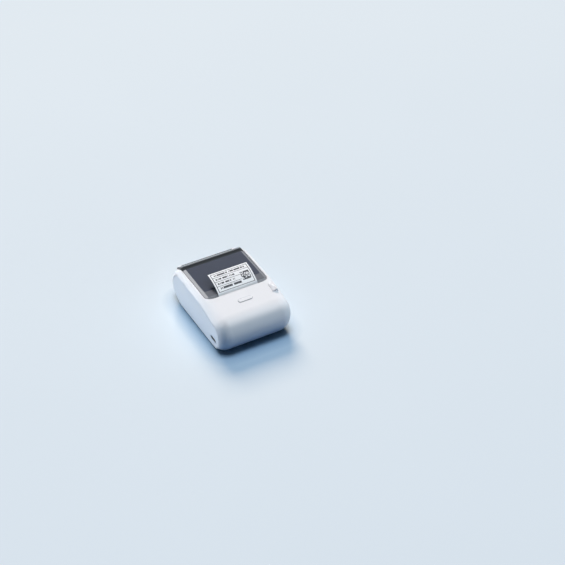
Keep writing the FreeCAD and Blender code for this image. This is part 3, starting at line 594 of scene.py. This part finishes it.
dressed = {
    shell: ("upper_case", "lower_case", "feed_button", "release_slider"),
    cover: ("top_cover",),
    charcoal: ("lid_frame", "paper_guide", "guide_right", "guide_left", "rack_right", "rack_left",
               "latch_hook"),
    plate: ("mechanism_frame",),
    rubber: ("rubber_feet", "platen_rubber"),
    steel: ("case_screws", "lid_screws", "frame_screws", "board_screws", "hinge_pins", "platen_shaft",
            "idler_axle", "reduction_axle", "motor_shaft", "head_spring", "latch_spring", "tear_bar",
            "feed_motor"),
    inlet: ("usb_socket",),
    brass: ("platen_bushes", "motor_pinion"),
    nylon: ("platen_gear", "idler_gear", "reduction_gear", "guide_pinion"),
    ceramic: ("print_head",),
    aluminium: ("heat_sink",),
    stock: ("label_web",),
    print_paper: ("printed_label",),
    roll_paper: ("label_roll",),
    card: ("roll_core",),
    film: ("head_ribbon",),
    mask_green: ("main_board", "button_board"),
    black: ("label_sensor", "feed_switch", "reset_switch"),
    pouch: ("battery_pack",),
}
for material, names in dressed.items():
    for name in names:
        mesh = nodes[name].data
        mesh.materials.clear()
        mesh.materials.append(material)


# Detail pieces

def add_piece(name, shape, material, body):
    """A finished shape becomes a piece of its own that moves with a body."""
    bmesh.ops.scale(shape, vec=(0.001, 0.001, 0.001), verts=shape.verts)
    bmesh.ops.recalc_face_normals(shape, faces=shape.faces)
    mesh = bpy.data.meshes.new(name)
    shape.to_mesh(mesh)
    shape.free()
    mesh.materials.append(material)
    piece = bpy.data.objects.new(name, mesh)
    bpy.context.scene.collection.objects.link(piece)
    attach(piece, body)
    return piece


def soft_block(shape, low, high, edge):
    """Block between two corners with small round edges."""
    middle = [(a + b) / 2 for a, b in zip(low, high)]
    size = [b - a for a, b in zip(low, high)]
    made = bmesh.ops.create_cube(shape, size=1.0)["verts"]
    bmesh.ops.scale(shape, vec=size, verts=made)
    bmesh.ops.translate(shape, vec=middle, verts=made)
    edges = {side for corner in made for side in corner.link_edges}
    bmesh.ops.bevel(shape, geom=list(edges), offset=edge, offset_type="OFFSET", affect="EDGES",
                    segments=2, profile=0.5, material=-1)


def turn_shape(shape, angle, axis):
    """Turns a whole shape about the origin."""
    bmesh.ops.rotate(shape, cent=(0, 0, 0), matrix=Matrix.Rotation(angle, 3, axis), verts=shape.verts)


def inlet_contacts():
    """Gold pads on both sides of the inlet's tongue."""
    shape = bmesh.new()
    y, z = inlet_centre
    for side in (-1, 1):
        face = z + side * tongue_thick / 2
        for index in range(contact_count):
            middle = y + (index - (contact_count - 1) / 2) * contact_pitch
            low = (inlet_low[0] + contact_reach[0], middle - contact_half, face - contact_rise)
            high = (inlet_low[0] + contact_reach[1], middle + contact_half, face + contact_rise)
            soft_block(shape, low, high, contact_edge)
    add_piece("inlet_contacts", shape, brass, "base")


def inlet_bezel():
    """Black surround that closes the slot in the cheek round the inlet."""
    shape = bmesh.new()
    half = slot_size[1] / 2
    bmesh.ops.create_circle(shape, cap_ends=True, radius=half, segments=slot_sides)
    turn_shape(shape, math.pi / slot_sides, "Z")
    for sign in (-1, 1):
        end = [corner for corner in shape.verts if corner.co.x * sign > 0]
        bmesh.ops.translate(shape, vec=(sign * (slot_size[0] / 2 - half), 0, 0), verts=end)
    inner = list(shape.faces)
    bmesh.ops.inset_region(shape, faces=inner, thickness=bezel_width, use_boundary=True,
                           use_even_offset=True)
    bmesh.ops.delete(shape, geom=inner, context="FACES")
    bmesh.ops.solidify(shape, geom=list(shape.faces), thickness=bezel_thick)
    turn_shape(shape, math.pi / 2, "Y")
    turn_shape(shape, math.pi / 2, "X")
    bmesh.ops.translate(shape, vec=(inlet_low[0] + bezel_depth, *inlet_centre), verts=shape.verts)
    add_piece("inlet_bezel", shape, black, "base")


def underside_plate():
    """Bare film plate on the floor of the case, with a raised border."""
    shape = bmesh.new()
    bmesh.ops.create_cube(shape, size=1.0)
    bmesh.ops.scale(shape, vec=(*plate_size, plate_thick), verts=shape.verts)
    upright = []
    for edge in shape.edges:
        if abs(edge.verts[0].co.z - edge.verts[1].co.z) > plate_thick / 2:
            upright.append(edge)
    bmesh.ops.bevel(shape, geom=upright, offset=plate_corner, offset_type="OFFSET", affect="EDGES",
                    segments=6, profile=0.5, material=-1)
    under = [face for face in shape.faces if face.normal.z < -0.5]
    bmesh.ops.inset_region(shape, faces=under, thickness=plate_border, use_even_offset=True)
    bmesh.ops.inset_region(shape, faces=under, thickness=plate_step, depth=-plate_sunk,
                           use_even_offset=True)
    case_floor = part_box("lower_case")[0][2] * 1000.0
    bmesh.ops.translate(shape, vec=(*plate_centre, case_floor - plate_thick / 2), verts=shape.verts)
    add_piece("underside_plate", shape, stock, "base")


def cover_ribs():
    """Crossed ribs that stiffen the cover from below, inside the window of its frame."""
    shape = bmesh.new()
    bmesh.ops.create_grid(shape, x_segments=rib_cells[0], y_segments=rib_cells[1], size=0.5)
    (left, right), (front, rear) = rib_window
    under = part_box("top_cover")[1][2] * 1000.0 - cover_wall
    bmesh.ops.scale(shape, vec=(right - left, rear - front, 1.0), verts=shape.verts)
    bmesh.ops.translate(shape, vec=((left + right) / 2, (front + rear) / 2, under), verts=shape.verts)
    cells = list(shape.faces)
    bmesh.ops.inset_individual(shape, faces=cells, thickness=rib_width / 2, use_even_offset=True)
    bmesh.ops.delete(shape, geom=cells, context="FACES")
    bmesh.ops.solidify(shape, geom=list(shape.faces), thickness=rib_height)
    add_piece("cover_ribs", shape, charcoal, "lid")


def latch_coil():
    """Return spring of the release, wound from wire, in place of the latch_spring part. The real one
    shortens as the release is pushed.
    """
    low, high = (Vector(corner) * 1000.0 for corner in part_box("latch_spring"))
    along = Vector((0.0, math.cos(case_lean), math.sin(case_lean)))
    front = (low + high) / 2 - along * coil_length / 2
    steps = coil_turns * turn_steps
    shape = bmesh.new()
    bmesh.ops.create_circle(shape, cap_ends=True, radius=coil_wire, segments=wire_sides)
    turn_shape(shape, case_lean, "X")
    start = front + along * coil_wire + Vector((coil_radius, 0.0, 0.0))
    bmesh.ops.translate(shape, vec=start, verts=shape.verts)
    section = shape.verts[:] + shape.edges[:] + shape.faces[:]
    climb = along * ((coil_length - 2 * coil_wire) / steps)
    bmesh.ops.spin(shape, geom=section, cent=front, axis=along, dvec=climb, angle=coil_turns * math.tau,
                   steps=steps)
    piece = add_piece("latch_coil", shape, steel, "base")
    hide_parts("latch_spring")
    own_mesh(piece)


def head_leaf():
    """Leaf spring behind the print head, on its own mesh in place of the head_spring part. The real one
    gives way towards its foot as the head tilts.
    """
    shape = bmesh.new()
    shape.from_mesh(nodes["head_spring"].data)
    bmesh.ops.remove_doubles(shape, verts=shape.verts, dist=0.00001)
    bmesh.ops.scale(shape, vec=(1000.0, 1000.0, 1000.0), verts=shape.verts)
    piece = add_piece("head_leaf", shape, steel, "base")
    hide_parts("head_spring")
    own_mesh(piece)


inlet_contacts()
inlet_bezel()
underside_plate()
cover_ribs()
latch_coil()
head_leaf()


# Floor, light and camera

def eye_rays(place):
    """Marks what is seen, straight on, mirrored or through something."""
    seen = place.node("LightPath", None, None, "Is Camera Ray")
    for kind in ("Is Glossy Ray", "Is Transmission Ray"):
        seen = seen.or_else(place.node("LightPath", None, None, kind))
    return seen


def pale_floor(place):
    """Pale floor to the eye, with shade painted deeper close to the printer, and darker in the light it
    throws back.
    """
    cloud = place.noise(3.0, 2.0)
    seen = eye_rays(place)
    open_sky = place.node("AmbientOcclusion", {"samples": 12}, {"Distance": contact_shade}, "AO")
    pale = cloud.mix((0.685, 0.765, 0.805), (0.705, 0.785, 0.825))
    # painted shade: where the printer closes off the open sky the floor is painted deep blue, as its
    # contact shadow
    pale = open_sky.mix((0.06, 0.22, 0.38), pale)
    x, y, z = place.parts()
    span = {"Value": place.reach(x, y), "From Min": floor_fade[0], "From Max": floor_fade[1]}
    fade = place.node("MapRange", {"interpolation_type": "SMOOTHSTEP"}, span)
    pale = fade.mix(pale, unlit)
    return {
        "Base Color": seen.mix((0.08, 0.16, 0.30), pale),
        "Emission Color": (fade * seen).mix(unlit, surround_colour),
        "Roughness": 0.5 + 0.1 * cloud,
    }


def make_floor():
    shape = bmesh.new()
    bmesh.ops.create_grid(shape, x_segments=1, y_segments=1, size=floor_half)
    mesh = bpy.data.meshes.new("floor")
    shape.to_mesh(mesh)
    shape.free()
    floor = bpy.data.objects.new("floor", mesh)
    bpy.context.scene.collection.objects.link(floor)
    look = finish("pale_floor", pale_floor, Specular_IOR_Level=0.0, Emission_Strength=1.0)
    mesh.materials.append(look)
    return floor


def light_group(name, floor, state):
    """What a lamp lights: the floor alone, or all but the floor."""
    group = bpy.data.collections.new(name)
    group.objects.link(floor)
    group.collection_objects[0].light_linking.link_state = state
    return group


def softbox(group, name, towards, distance, size, power, colour, spread, mirrored):
    """Square area lamp that looks at the printer from a direction and lights one group."""
    lamp = bpy.data.lights.new(name, "AREA")
    lamp.shape = "SQUARE"
    lamp.size = size
    lamp.energy = power
    lamp.color = colour
    lamp.spread = math.radians(spread)
    holder = bpy.data.objects.new(name, lamp)
    way = Vector(towards).normalized()
    holder.location = way * distance
    holder.rotation_mode = "QUATERNION"
    holder.rotation_quaternion = way.to_track_quat("Z", "Y")
    holder.light_linking.receiver_collection = group
    holder.visible_glossy = mirrored
    bpy.context.scene.collection.objects.link(holder)


floor = make_floor()
printer_group = light_group("all_but_the_floor", floor, "EXCLUDE")
floor_group = light_group("floor_alone", floor, "INCLUDE")
for row in printer_lamps:
    softbox(printer_group, *row)
for row in floor_lamps:
    softbox(floor_group, *row)

world = bpy.data.worlds.new("studio")
bpy.context.scene.world = world
world.use_nodes = True
sky = Wire(world.node_tree, None)
surround = eye_rays(sky).mix((0.03, 0.04, 0.05), surround_colour)
world.node_tree.links.new(surround.socket, world.node_tree.nodes["Background"].inputs["Color"])

lens = bpy.data.cameras.new("camera")
lens.lens = camera_lens
lens.sensor_width = 36.0
lens.clip_start = 0.05
lens.clip_end = 30.0
viewer = bpy.data.objects.new("camera", lens)
turn = math.radians(camera_azimuth)
lift = math.radians(camera_elevation)
back = Vector((math.sin(turn) * math.cos(lift), -math.cos(turn) * math.cos(lift), math.sin(lift)))
viewer.location = camera_place
viewer.rotation_mode = "QUATERNION"
viewer.rotation_quaternion = (-back).to_track_quat("-Z", "Y")
bpy.context.scene.collection.objects.link(viewer)
bpy.context.scene.camera = viewer
bpy.context.scene.view_settings.view_transform = "Standard"
